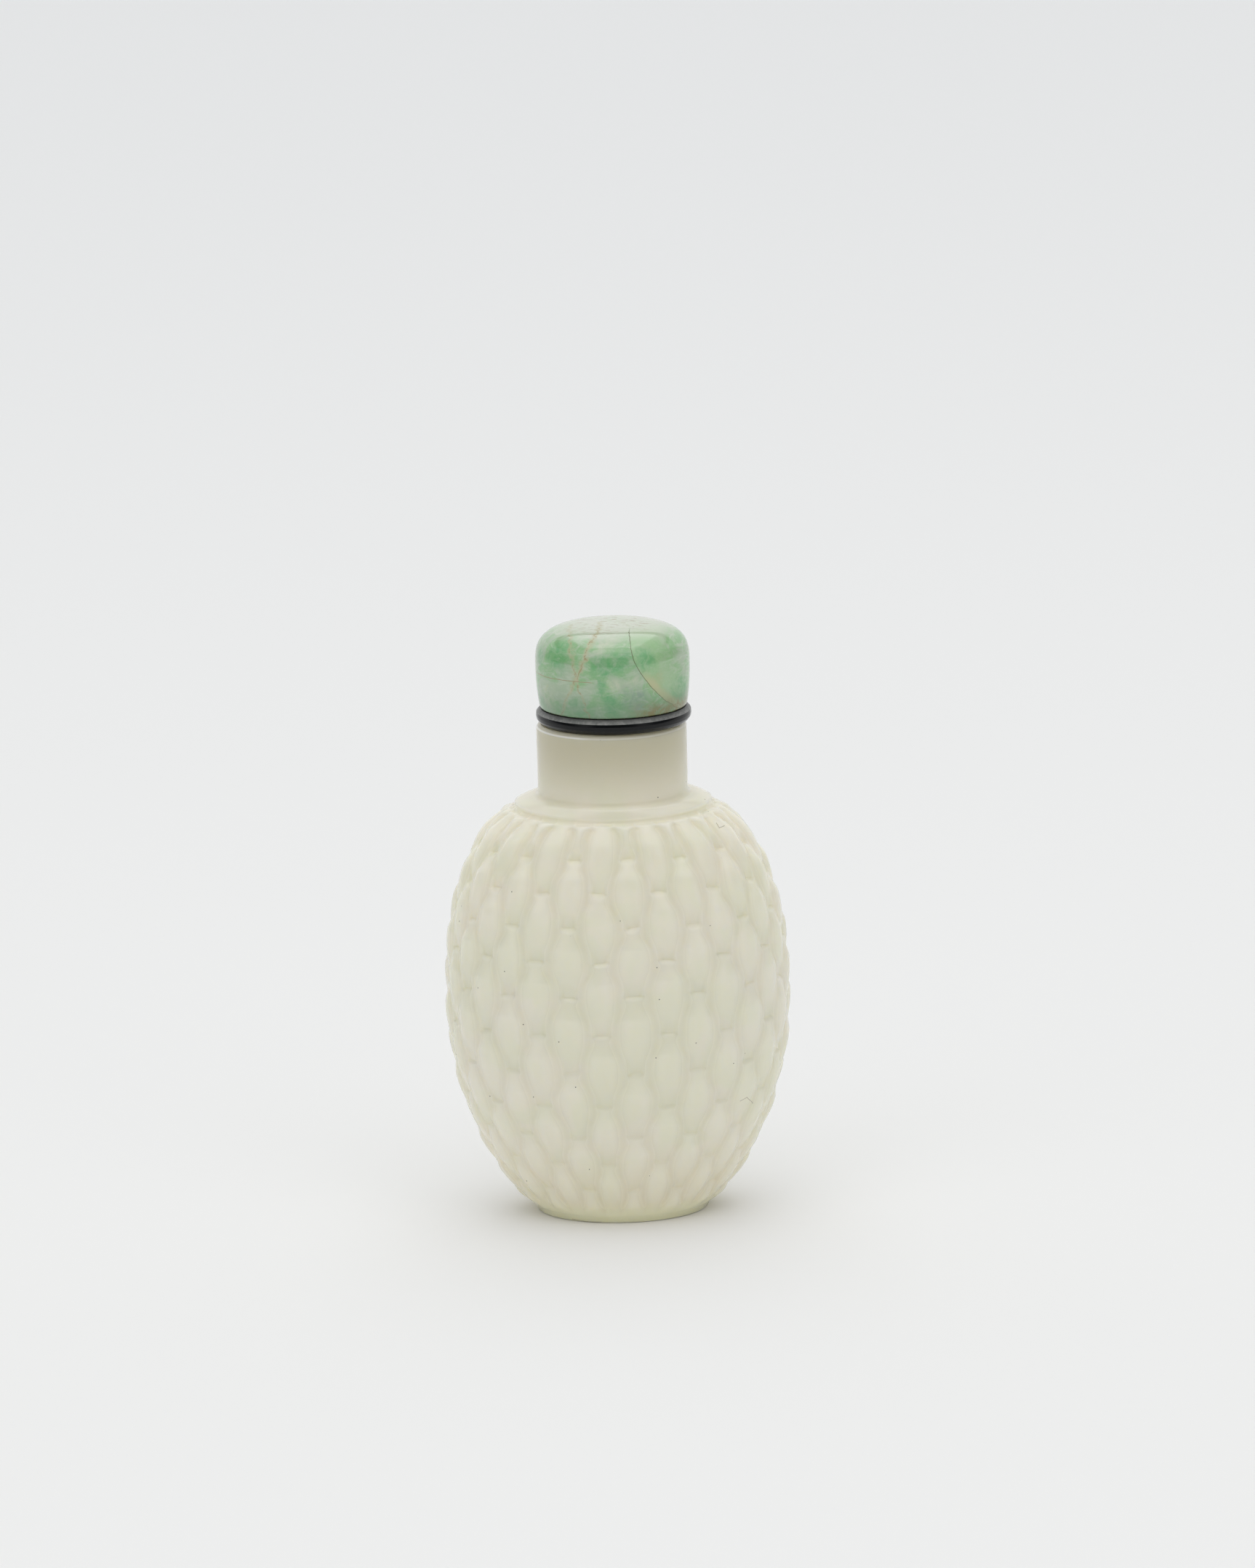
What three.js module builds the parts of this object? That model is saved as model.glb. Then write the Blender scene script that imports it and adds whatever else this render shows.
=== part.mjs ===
// Snuff bottle: a flattened oval bottle of pale stone, carved all over with a basketweave of
// staggered strands, with a plain round neck, a thin black collar on its lip and a domed
// green stone cap. Millimetres, +Z up. The origin is the middle of the flat underside, and
// the two broad faces of the bottle look along -Y and +Y.
import * as THREE from 'three';

// Bottle outline: half-width along X and half-depth along Y at three levels
const FOOT = { level: 0.5, halfWidth: 10.4, halfDepth: 7.8 };
const BULGE = { level: 25.5, halfWidth: 20.0, halfDepth: 12.8 };
const RING = { level: 48.2, halfWidth: 11.7, halfDepth: 9.75 };
const SHOULDER_CURVE = { along: 2.4, across: 1.5 };
const HIP_CURVE = { along: 2.05, across: 1.2 };
const UNDERSIDE_INSET = 0.8;

// Basketweave: columns of strands, each strand two rows long, staggered by one row
const COLUMNS = 32;
const ROWS = 12;
const STEPS_PER_ROW = 3;
const CLOSER_LOW_ROWS = { fromRow: 4, drop: 1.4 };
const GROOVE = { depth: 0.45, halfWidth: 0.15 };
const WAIST = { narrowing: 0.36, opening: 0.6 };
const CROSSING_DIP = 0.6;

// Neck and lip, and the smooth platform around the neck, which sags to the front and back
const LIP_LEVEL = 57.75;
const NECK_RADIUS = 8.6;
const NECK_FOOT_LEVEL = 49.95;
const LIP_EDGE = { inset: 0.35, drop: 0.5 };
const NECK_FLARE = { width: 0.15, drop: 0.5 };
const BORE_RADIUS = 4.0;
const PLATFORM = { level: 49.0, halfWidth: 10.2, halfDepth: 9.15 };
const PLATFORM_EDGE = { level: 48.65, halfWidth: 11.2, halfDepth: 9.4 };
const RING_GROOVE = { level: 48.25, halfWidth: 11.4, halfDepth: 9.5 };
const SHOULDER_SAG = { depth: 0.35, overRows: 3 };

// Hollow inside
const WALL = 3.2;
const CAVITY_FLOOR = { level: 3.75, halfWidth: 6.4, halfDepth: 4.2 };
const CAVITY_TOP_LEVEL = 45.5;
const CAVITY_STEPS = 4;

// Stopper: collar and cap, seated a little to one side of the neck's axis
const STOPPER_OFFSET_X = 0.3;
const COLLAR = {
  height: 1.75,
  radius: 8.9,
  topRadius: 8.5,
  bottomRadius: 8.4,
  bandFrom: 0.7,
  bandTo: 1.2,
};
const CAP = { height: 9.75, radius: 8.83, bottomRadius: 8.42, widestAt: 4.9, dome: 3.2 };
const CAP_STEPS = { side: 2, dome: 8 };
const LOW_CHAMFER = 0.2;

// Sides of the round pieces
const CAVITY_SIDES = 24;
const NECK_SIDES = 48;
const STOPPER_SIDES = 32;

const lerp = THREE.MathUtils.lerp;
const smooth = (x) => THREE.MathUtils.smoothstep(x, 0, 1);

// Half-width and half-depth of a form that swells from a low oval to a middle one and
// closes again to a high one, following two rounded curves.
function outlineAt(level, low, middle, high) {
  const above = level > middle.level;
  const end = above ? high : low;
  const curve = above ? SHOULDER_CURVE : HIP_CURVE;
  const away = Math.min(1, Math.abs((level - middle.level) / (end.level - middle.level)));
  const swell = Math.pow(1 - Math.pow(away, curve.along), 1 / curve.across);
  return {
    level,
    halfWidth: lerp(end.halfWidth, middle.halfWidth, swell),
    halfDepth: lerp(end.halfDepth, middle.halfDepth, swell),
  };
}

// Level of a place counted in rows from the ring: the rows draw closer towards the foot.
function rowLevel(row) {
  const even = lerp(RING.level, FOOT.level, row / ROWS);
  const low = Math.max(0, row - CLOSER_LOW_ROWS.fromRow) / (ROWS - CLOSER_LOW_ROWS.fromRow);
  return even - CLOSER_LOW_ROWS.drop * Math.sin(Math.PI * low) ** 2;
}

// Strand lengths from the first crossing of a column down to a row. Odd columns have a
// crossing at the ring, and even ones a row below it.
function strandsPast(column, row) {
  return (row - column - 1) / 2;
}

// How far the line between two columns leans towards the first one's middle, as a share of
// half a column: a strand is narrow where it crosses and broad half way to the next crossing.
// All strands open to an even width at the ring.
function sideLean(column, row) {
  const wave = Math.cos(2 * Math.PI * strandsPast(column, Math.max(1, row)));
  return WAIST.narrowing * wave * (3 - wave * wave) / 2 * Math.min(1, row) ** WAIST.opening;
}

// Depth of a strand's crown below the full outline: it swells out between its crossings.
function crownDip(column, row) {
  const strands = strandsPast(column, row);
  const toCrossing = Math.abs(strands - Math.round(strands));
  return CROSSING_DIP * (1 - smooth(2 * toCrossing));
}

// A ring of points around the bottle. Each place gives its angle and how deep it is cut,
// and the ring can sag towards the front and the back.
function ovalRing(outline, places, sag = 0) {
  return places.map(({ angle, depth = 0 }) => {
    const outward = new THREE.Vector2(
      Math.sin(angle) / outline.halfWidth,
      -Math.cos(angle) / outline.halfDepth,
    ).normalize();
    return new THREE.Vector3(
      outline.halfWidth * Math.sin(angle) - depth * outward.x,
      -outline.halfDepth * Math.cos(angle) - depth * outward.y,
      outline.level - sag * Math.cos(angle) ** 2,
    );
  });
}

function evenPlaces(sides) {
  return Array.from({ length: sides }, (_, side) => ({ angle: 2 * Math.PI * side / sides }));
}

function roundRing(radius, level, sides) {
  return ovalRing({ level, halfWidth: radius, halfDepth: radius }, evenPlaces(sides));
}

// Three places for each column: the groove on its left and the two edges of its crown.
function strandPlaces(row) {
  const places = [];
  const pitch = 2 * Math.PI / COLUMNS;
  for (let column = 0; column < COLUMNS; column++) {
    const left = (column - sideLean(column - 1, row) / 2) * pitch;
    const right = (column + 1 - sideLean(column, row) / 2) * pitch;
    const crown = crownDip(column, row);
    const beside = crownDip(column - 1, row);
    places.push({ angle: left, depth: GROOVE.depth + Math.min(crown, beside) / 2 });
    places.push({ angle: left + GROOVE.halfWidth * pitch, depth: crown });
    places.push({ angle: right - GROOVE.halfWidth * pitch, depth: crown });
  }
  return places;
}

// Rings of the hollow, from its floor up to the mouth.
function cavityRings() {
  const middle = {
    level: BULGE.level,
    halfWidth: BULGE.halfWidth - WALL,
    halfDepth: BULGE.halfDepth - WALL,
  };
  const top = { level: CAVITY_TOP_LEVEL, halfWidth: BORE_RADIUS, halfDepth: BORE_RADIUS };
  const places = evenPlaces(CAVITY_SIDES);
  const rings = [];
  for (let step = -CAVITY_STEPS; step <= CAVITY_STEPS; step++) {
    const end = step < 0 ? CAVITY_FLOOR : top;
    const away = Math.sin(Math.abs(step) / CAVITY_STEPS * Math.PI / 2);
    const level = lerp(middle.level, end.level, away);
    rings.push(ovalRing(outlineAt(level, CAVITY_FLOOR, middle, top), places));
  }
  rings.push(roundRing(BORE_RADIUS, LIP_LEVEL, CAVITY_SIDES));
  return rings;
}

// Rings of the lip, the neck and the platform, down to the groove around the platform.
function neckRings() {
  const neck = [
    [NECK_RADIUS - LIP_EDGE.inset, LIP_LEVEL],
    [NECK_RADIUS, LIP_LEVEL - LIP_EDGE.drop],
    [NECK_RADIUS, NECK_FOOT_LEVEL],
    [NECK_RADIUS + NECK_FLARE.width, NECK_FOOT_LEVEL - NECK_FLARE.drop],
  ];
  const places = evenPlaces(NECK_SIDES);
  return [
    ...neck.map(([radius, level]) => roundRing(radius, level, NECK_SIDES)),
    ovalRing(PLATFORM, places, SHOULDER_SAG.depth / 2),
    ovalRing(PLATFORM_EDGE, places, SHOULDER_SAG.depth),
    ovalRing(RING_GROOVE, places, SHOULDER_SAG.depth),
  ];
}

// Rings of the carved body, from the ring around the platform to the flat underside.
function strandRings() {
  const rings = [];
  for (let step = 0; step <= ROWS * STEPS_PER_ROW; step++) {
    const row = step / STEPS_PER_ROW;
    const outline = outlineAt(rowLevel(row), FOOT, BULGE, RING);
    const sag = SHOULDER_SAG.depth * Math.max(0, 1 - row / SHOULDER_SAG.overRows);
    rings.push(ovalRing(outline, strandPlaces(row), sag));
  }
  const underside = {
    level: 0,
    halfWidth: FOOT.halfWidth - UNDERSIDE_INSET,
    halfDepth: FOOT.halfDepth - UNDERSIDE_INSET,
  };
  rings.push(ovalRing(underside, strandPlaces(ROWS)));
  return rings;
}

// One closed skin through a chain of rings. The next ring has as many points as the last,
// or twice as many. Both ends are closed by a fan around their middle.
function skin(rings) {
  const points = [];
  const triangles = [];
  const starts = rings.map((ring) => {
    points.push(...ring);
    return points.length - ring.length;
  });
  const closeEnd = (ring, start, outwards) => {
    const middle = points.length;
    points.push(new THREE.Vector3(0, 0, ring[0].z));
    ring.forEach((_, i) => {
      const here = start + i;
      const next = start + (i + 1) % ring.length;
      triangles.push(outwards ? [middle, next, here] : [middle, here, next]);
    });
  };
  for (let i = 1; i < rings.length; i++) {
    const count = rings[i - 1].length;
    const finer = rings[i].length / count;
    for (let side = 0; side < count; side++) {
      const a = starts[i - 1] + side;
      const b = starts[i - 1] + (side + 1) % count;
      const [c, d, e] = [0, 1, finer].map((k) => starts[i] + (side * finer + k) % rings[i].length);
      triangles.push([a, c, finer === 2 ? d : e]);
      if (finer === 2) triangles.push([a, d, b], [d, e, b]);
      else triangles.push([a, e, b]);
    }
  }
  closeEnd(rings[0], starts[0], false);
  closeEnd(rings.at(-1), starts.at(-1), true);
  const geometry = new THREE.BufferGeometry();
  geometry.setAttribute(
    'position',
    new THREE.Float32BufferAttribute(points.flatMap((point) => point.toArray()), 3),
  );
  geometry.setIndex(triangles.flat());
  geometry.computeVertexNormals();
  return geometry;
}

function bottleGeometry() {
  return skin([...cavityRings(), ...neckRings(), ...strandRings()]);
}

// Half section turned around Z: each point is a radius and a height above the underside.
function turned(section) {
  const profile = section.map(([radius, height]) => new THREE.Vector2(radius, height));
  return new THREE.LatheGeometry(profile, STOPPER_SIDES).rotateX(Math.PI / 2);
}

function collarGeometry() {
  return turned([
    [0, 0],
    [COLLAR.bottomRadius, 0],
    [COLLAR.bottomRadius + LOW_CHAMFER, LOW_CHAMFER],
    [COLLAR.radius, COLLAR.bandFrom],
    [COLLAR.radius, COLLAR.bandTo],
    [COLLAR.topRadius, COLLAR.height],
    [0, COLLAR.height],
  ]);
}

function capGeometry() {
  const section = [[0, 0], [CAP.bottomRadius - LOW_CHAMFER, 0]];
  for (let step = 0; step < CAP_STEPS.side; step++) {
    const below = 1 - step / CAP_STEPS.side;
    const radius = lerp(CAP.radius, CAP.bottomRadius, below ** 2);
    section.push([radius, Math.max(LOW_CHAMFER, CAP.widestAt * (1 - below))]);
  }
  const domeHeight = CAP.height - CAP.widestAt;
  for (let step = 0; step < CAP_STEPS.dome; step++) {
    const turn = Math.PI / 2 * step / CAP_STEPS.dome;
    const radius = CAP.radius * Math.cos(turn) ** (2 / CAP.dome);
    section.push([radius, CAP.widestAt + domeHeight * Math.sin(turn) ** (2 / CAP.dome)]);
  }
  section.push([0, CAP.height]);
  return turned(section);
}

function piece(name, geometry, colour, roughness) {
  const material = new THREE.MeshStandardMaterial({ color: colour, roughness, metalness: 0 });
  const mesh = new THREE.Mesh(geometry, material);
  mesh.name = name;
  return mesh;
}

const bottle = piece('bottle_body', bottleGeometry(), '#d2cebb', 0.3);
const collar = piece('stopper_collar', collarGeometry(), '#1c1e1f', 0.2);
const cap = piece('stopper_cap', capGeometry(), '#86ab84', 0.18);

const stopper = new THREE.Group();
stopper.position.set(STOPPER_OFFSET_X, 0, LIP_LEVEL);
cap.position.z = COLLAR.height;
stopper.add(collar, cap);

const snuffBottle = new THREE.Group();
snuffBottle.add(bottle, stopper);

export default snuffBottle;
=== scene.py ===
"""A snuff bottle of pale stone with a carved basketweave, a black collar and a green stone cap."""
import math

import bmesh
import bpy
from mathutils import Matrix, Vector


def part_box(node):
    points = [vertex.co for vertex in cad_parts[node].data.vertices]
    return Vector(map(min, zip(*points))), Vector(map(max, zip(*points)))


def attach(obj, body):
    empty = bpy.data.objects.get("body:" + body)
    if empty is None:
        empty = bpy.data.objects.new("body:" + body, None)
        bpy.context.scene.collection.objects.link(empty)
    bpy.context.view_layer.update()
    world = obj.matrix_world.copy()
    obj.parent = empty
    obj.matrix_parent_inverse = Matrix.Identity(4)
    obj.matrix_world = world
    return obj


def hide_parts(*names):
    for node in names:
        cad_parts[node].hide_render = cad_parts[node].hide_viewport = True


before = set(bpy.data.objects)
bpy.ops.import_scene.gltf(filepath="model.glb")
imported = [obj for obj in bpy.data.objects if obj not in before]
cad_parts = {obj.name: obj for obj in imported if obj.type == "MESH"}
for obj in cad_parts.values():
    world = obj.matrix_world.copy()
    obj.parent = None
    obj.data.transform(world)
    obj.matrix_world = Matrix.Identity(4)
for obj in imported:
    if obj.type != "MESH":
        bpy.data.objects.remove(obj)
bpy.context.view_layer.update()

# --- Bottle: pale nephrite --------------------------------------------------------------
# The stone is an even greyish white with a green-yellow tinge, a little translucent, and
# softly polished. It has faint clouds, a few dark specks, and painted shade up the neck.
MM = 0.001
STONE = {
    "cloud": (0.88, 0.86, 0.70),
    "clear": (0.91, 0.865, 0.73),
    "neck": (0.60, 0.565, 0.415),
    "low wall": (0.88, 0.81, 0.60),
    "foot": (0.97, 0.905, 0.66),
    "speck": (0.07, 0.05, 0.04),
    "hairline": (0.25, 0.20, 0.14),
    "worn lip and highlight": (0.92, 0.90, 0.80),
    "groove": (0.52, 0.42, 0.32),
}
CLOUD_SIZE = 7 * MM
SPECK_SPACING = 2 * MM
SPECK_RADIUS = 0.085 * MM
SPECK_SHARE = 0.6
# Levels between which a shade or a look comes in from nothing to full
# Painted shade up the neck: the collar's shadow and the dark bore seen through the thin wall
NECK_PAINTED_SHADE = (46.5 * MM, 57 * MM)
LOW_SHADE = (12 * MM, 0.0)
# Painted glow at the foot, of light passing through the stone; the same band shortens the
# subsurface reach
FOOT_PAINTED_GLOW = (3.5 * MM, 0.5 * MM)
LIP_WEAR_AND_HIGHLIGHT_LEVEL = 57.3 * MM
LIGHT_REACH = 3.0 * MM
FOOT_LIGHT_REACH = 0.3 * MM
HAIRLINE_HALF = 0.05 * MM

# Fine dark lines on the front of the stone, as x and level of their ends and bends: one by
# the ring, one low on the right, and along the foot the painted shadow of a nick
HAIRLINES_AND_FOOT_SHADOW = [
    [(11.7, 46.6), (12.0, 46.1), (12.6, 46.2)],
    [(13.7, 14.4), (14.5, 14.7), (15.2, 13.6)],
    [(-5.9, 0.25), (-4.2, 0.1), (-2.6, 0.1)],
]


class Amount:
    """A number that varies over a surface or a mesh, worked out by math nodes."""

    def __init__(self, tree, socket):
        self.tree = tree
        self.socket = socket

    def combine(self, operation, *others):
        node = self.tree.nodes.new("ShaderNodeMath")
        node.operation = operation
        for socket, value in zip(node.inputs, (self, *others)):
            plug(self.tree, value, socket)
        return Amount(self.tree, node.outputs[0])

    def __add__(self, other):
        return self.combine("ADD", other)

    def __sub__(self, other):
        return self.combine("SUBTRACT", other)

    def __mul__(self, other):
        return self.combine("MULTIPLY", other)

    def __truediv__(self, other):
        return self.combine("DIVIDE", other)

    def __pow__(self, other):
        return self.combine("POWER", other)

    def rest(self):
        """What is left of one."""
        return self * -1.0 + 1.0

    def limited(self, low, high):
        return self.combine("MAXIMUM", low).combine("MINIMUM", high)

    def ramp(self, start, end, kind="SMOOTHSTEP"):
        """0 up to start, 1 from end on, and a smooth or a straight step between them."""
        node = self.tree.nodes.new("ShaderNodeMapRange")
        node.interpolation_type = kind
        plug(self.tree, self, node.inputs["Value"])
        plug(self.tree, start, node.inputs["From Min"])
        plug(self.tree, end, node.inputs["From Max"])
        return Amount(self.tree, node.outputs["Result"])


def plug(tree, value, socket):
    """Links an amount or a node's output to a socket, or sets a plain value on it."""
    if isinstance(value, Amount):
        tree.links.new(value.socket, socket)
    elif isinstance(value, bpy.types.NodeSocket):
        tree.links.new(value, socket)
    else:
        socket.default_value = value


def new_stone(name):
    """A material with its shader, and the place on the object as X, Y and Z amounts."""
    material = bpy.data.materials.new(name)
    material.use_nodes = True
    tree = material.node_tree
    shader = tree.nodes["Principled BSDF"]
    coordinates = tree.nodes.new("ShaderNodeTexCoord")
    parts = tree.nodes.new("ShaderNodeSeparateXYZ")
    tree.links.new(coordinates.outputs["Object"], parts.inputs["Vector"])
    place = coordinates.outputs["Object"]
    x, y, z = (Amount(tree, parts.outputs[axis]) for axis in "XYZ")
    return material, tree, shader, place, x, y, z


def clouds(tree, place, size, detail=3.0, roughness=0.5, distortion=0.0, stretch=(1, 1, 1)):
    """Soft noise between about 0.3 and 0.7, with patches of the given size."""
    mapping = tree.nodes.new("ShaderNodeMapping")
    plug(tree, place, mapping.inputs["Vector"])
    mapping.inputs["Scale"].default_value = [1 / (size * s) for s in stretch]
    noise = tree.nodes.new("ShaderNodeTexNoise")
    tree.links.new(mapping.outputs["Vector"], noise.inputs["Vector"])
    noise.inputs["Scale"].default_value = 1.0
    noise.inputs["Detail"].default_value = detail
    noise.inputs["Roughness"].default_value = roughness
    noise.inputs["Distortion"].default_value = distortion
    return Amount(tree, noise.outputs["Fac"])


def specks(tree, place, spacing, size, share):
    """1 inside small round specks: one in each cell of the spacing, kept for a share of them."""
    cells = tree.nodes.new("ShaderNodeTexVoronoi")
    plug(tree, place, cells.inputs["Vector"])
    cells.inputs["Scale"].default_value = 1 / spacing
    near = Amount(tree, cells.outputs["Distance"]).ramp(size / spacing, 0.6 * size / spacing)
    pick = tree.nodes.new("ShaderNodeSeparateColor")
    tree.links.new(cells.outputs["Color"], pick.inputs["Color"])
    return near * Amount(tree, pick.outputs["Red"]).combine("LESS_THAN", share)


def tint(tree, amount, under, over):
    """The under colour where the amount is 0 and the over colour where it is 1."""
    mix = tree.nodes.new("ShaderNodeMix")
    mix.data_type = "RGBA"
    plug(tree, amount, mix.inputs["Factor"])
    for value, socket in ((under, mix.inputs["A"]), (over, mix.inputs["B"])):
        plug(tree, (*value, 1.0) if isinstance(value, tuple) else value, socket)
    return mix.outputs["Result"]


def stroke(x, y, z, start, end):
    """1 along a fine straight line between two places on the front."""
    run, rise = (end[0] - start[0]) * MM, (end[1] - start[1]) * MM
    right, up = x - start[0] * MM, z - start[1] * MM
    along = ((right * run + up * rise) / (run * run + rise * rise)).limited(0.0, 1.0)
    away = ((right - along * run) ** 2.0 + (up - along * rise) ** 2.0) ** 0.5
    front = y.ramp(0.0, -1 * MM)
    return away.ramp(HAIRLINE_HALF, 0.4 * HAIRLINE_HALF) * front


def nephrite():
    material, tree, shader, place, x, y, z = new_stone("pale nephrite")
    drift = clouds(tree, place, CLOUD_SIZE, distortion=0.5).ramp(0.4, 0.6)
    colour = tint(tree, drift, STONE["cloud"], STONE["clear"])
    # Painted shade up the neck, from the collar's shadow and the dark bore; warmer low on the wall
    foot = z.ramp(*FOOT_PAINTED_GLOW)
    colour = tint(tree, z.ramp(*NECK_PAINTED_SHADE), colour, STONE["neck"])
    colour = tint(tree, z.ramp(*LOW_SHADE) * 0.42, colour, STONE["low wall"])
    # Painted glow at the foot: paler and yellower where light through the stone comes out
    colour = tint(tree, foot, colour, STONE["foot"])
    dots = specks(tree, place, SPECK_SPACING, SPECK_RADIUS, SPECK_SHARE)
    colour = tint(tree, dots, colour, STONE["speck"])
    # Hairlines, and the painted shadow of the nick under the foot
    for corners in HAIRLINES_AND_FOOT_SHADOW:
        for start, end in zip(corners, corners[1:]):
            colour = tint(tree, stroke(x, y, z, start, end) * 0.6, colour, STONE["hairline"])
    # The lip's outer edge is worn pale with a painted highlight on it, most of all on the left
    worn = (z - LIP_WEAR_AND_HIGHLIGHT_LEVEL).combine("ABSOLUTE").ramp(0.14 * MM, 0.05 * MM)
    worn = worn * (x.ramp(-2 * MM, -4 * MM) * 0.5 + 0.4)
    colour = tint(tree, worn, colour, STONE["worn lip and highlight"])
    # Painted shade darkens and warms the grooves between the strands; they are less polished
    groove = tree.nodes.new("ShaderNodeAttribute")
    groove.attribute_name = "groove"
    groove_shade_and_matt = Amount(tree, groove.outputs["Fac"])
    colour = tint(tree, groove_shade_and_matt * 0.06, colour, STONE["groove"])
    plug(tree, colour, shader.inputs["Base Color"])
    plug(tree, groove_shade_and_matt * 0.2 + 0.16, shader.inputs["Roughness"])
    reach = foot * (FOOT_LIGHT_REACH - LIGHT_REACH) + LIGHT_REACH
    plug(tree, reach, shader.inputs["Subsurface Scale"])
    shader.inputs["Subsurface Weight"].default_value = 1.0
    shader.inputs["Subsurface Radius"].default_value = (1.0, 0.95, 0.8)
    shader.inputs["IOR"].default_value = 1.61
    return material


pale_nephrite = nephrite()

# --- Bottle: the woven wall -------------------------------------------------------------
# One piece of stone, ground to a flattened oval. Columns of strands run from the ring at
# the neck's foot down to the underside. Each strand is two rows long, narrow and cut in
# where it crosses under its neighbours, and the columns are staggered by one row.
COLUMNS = 32
ROWS = 12
STEPS_ACROSS = 10
STEPS_ALONG = 18
SIDE_CROWDING = 0.6
CROSSING_CROWDING = 0.55
OUTLINE = {
    "Foot Level": 0.5 * MM,
    "Foot Width": 10.4 * MM,
    "Foot Depth": 7.8 * MM,
    "Bulge Level": 25.5 * MM,
    "Bulge Width": 20.0 * MM,
    "Bulge Depth": 12.8 * MM,
    "Ring Level": 48.2 * MM,
    "Ring Width": 11.7 * MM,
    "Ring Depth": 9.75 * MM,
    "Sag": 0.35 * MM,
    "Closer Low Rows": 1.4 * MM,
}
CARVING = {
    "Narrowing": 0.32,
    "Neck Rise": 0.56 * MM,
    "Lower Fall": 0.58 * MM,
    "Groove Depth": 0.15 * MM,
    "Groove Half Width": 0.13,
    "Flank": 0.33,
    "Edge Line": 0.02 * MM,
    "Crown Fall": 0.06 * MM,
    "Fishtail": 0.24 * MM,
    "Ring Bevel": 0.40 * MM,
    "Foot Cut": 0.35 * MM,
    "Uneven Rows": 0.07,
    "Uneven Columns": 0.07,
}
SHOULDER_CURVE = (2.4, 1.5)
HIP_CURVE = (2.05, 1.2)
FULL_TURN = 2 * math.pi


def crowded(amount, share):
    """Brings evenly spaced lines closer together near the whole numbers."""
    wave = (amount * FULL_TURN).combine("SINE")
    return amount - wave * (share / FULL_TURN)


def outline_half(level, size, side):
    """Half-width or half-depth at a level, swelling from foot and ring to the bulge."""
    halves = []
    for end, (along, across) in (("Ring", SHOULDER_CURVE), ("Foot", HIP_CURVE)):
        reach = size[f"{end} Level"] - size["Bulge Level"]
        away = ((level - size["Bulge Level"]) / reach).limited(0.0, 1.0)
        swell = (away ** along).rest() ** (1 / across)
        low = size[f"{end} {side}"]
        halves.append(low + (size[f"Bulge {side}"] - low) * swell)
    return halves[0].combine("MINIMUM", halves[1])


def joined(tree, x, y, z):
    node = tree.nodes.new("ShaderNodeCombineXYZ")
    for socket, value in zip(node.inputs, (x, y, z)):
        plug(tree, value, socket)
    return node.outputs["Vector"]


def shape_tree(name, size_names):
    """An empty tree that gives out geometry, and its named sizes as amounts."""
    tree = bpy.data.node_groups.new(name, "GeometryNodeTree")
    tree.interface.new_socket("Geometry", in_out="OUTPUT", socket_type="NodeSocketGeometry")
    entry = tree.nodes.new("NodeGroupInput")
    size = {}
    for size_name in size_names:
        tree.interface.new_socket(size_name, in_out="INPUT", socket_type="NodeSocketFloat")
        size[size_name] = Amount(tree, entry.outputs[size_name])
    return tree, size


def strand_grid(tree):
    """A flat grid with a square for each column and row, and where its points lie on it."""
    grid = tree.nodes.new("GeometryNodeMeshGrid")
    grid.inputs["Size X"].default_value = COLUMNS
    grid.inputs["Size Y"].default_value = ROWS
    grid.inputs["Vertices X"].default_value = COLUMNS * STEPS_ACROSS + 1
    grid.inputs["Vertices Y"].default_value = ROWS * STEPS_ALONG + 1
    flat = tree.nodes.new("ShaderNodeSeparateXYZ")
    tree.links.new(tree.nodes.new("GeometryNodeInputPosition").outputs[0], flat.inputs[0])
    across = crowded(Amount(tree, flat.outputs["X"]) + COLUMNS / 2, SIDE_CROWDING)
    row = crowded(Amount(tree, flat.outputs["Y"]) * -1.0 + ROWS / 2, CROSSING_CROWDING)
    return grid.outputs["Mesh"], across, row


def strand_width(size, column, row):
    """Strand widths: narrow at a crossing, broad half way between, and even at the ring."""
    past = (row.combine("MAXIMUM", 1.0) - column - 1.0) * 0.5
    wave = (past * FULL_TURN).combine("COSINE")
    lean = size["Narrowing"] * wave * (wave * wave * -0.25 + 1.25) * row.ramp(0.0, 0.4)
    return lean.rest(), lean


def by_hand(tree, size, across, row):
    """How far rows and columns stray from even ones, less and less towards ring and foot."""
    turn = across * (FULL_TURN / COLUMNS)
    around = joined(tree, turn.combine("SINE") * 6.0, turn.combine("COSINE") * 6.0, row)
    noise = tree.nodes.new("ShaderNodeTexNoise")
    tree.links.new(around, noise.inputs["Vector"])
    noise.inputs["Scale"].default_value = 0.55
    noise.inputs["Detail"].default_value = 1.0
    wander = tree.nodes.new("ShaderNodeSeparateXYZ")
    tree.links.new(noise.outputs["Color"], wander.inputs["Vector"])
    fade = row.ramp(0.0, 1.5) * row.ramp(float(ROWS), ROWS - 1.5)
    row_wander = (Amount(tree, wander.outputs["X"]) - 0.5) * size["Uneven Rows"] * 4.0
    column_wander = (Amount(tree, wander.outputs["Y"]) - 0.5) * size["Uneven Columns"] * 4.0
    return row_wander * fade, column_wander * fade


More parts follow.
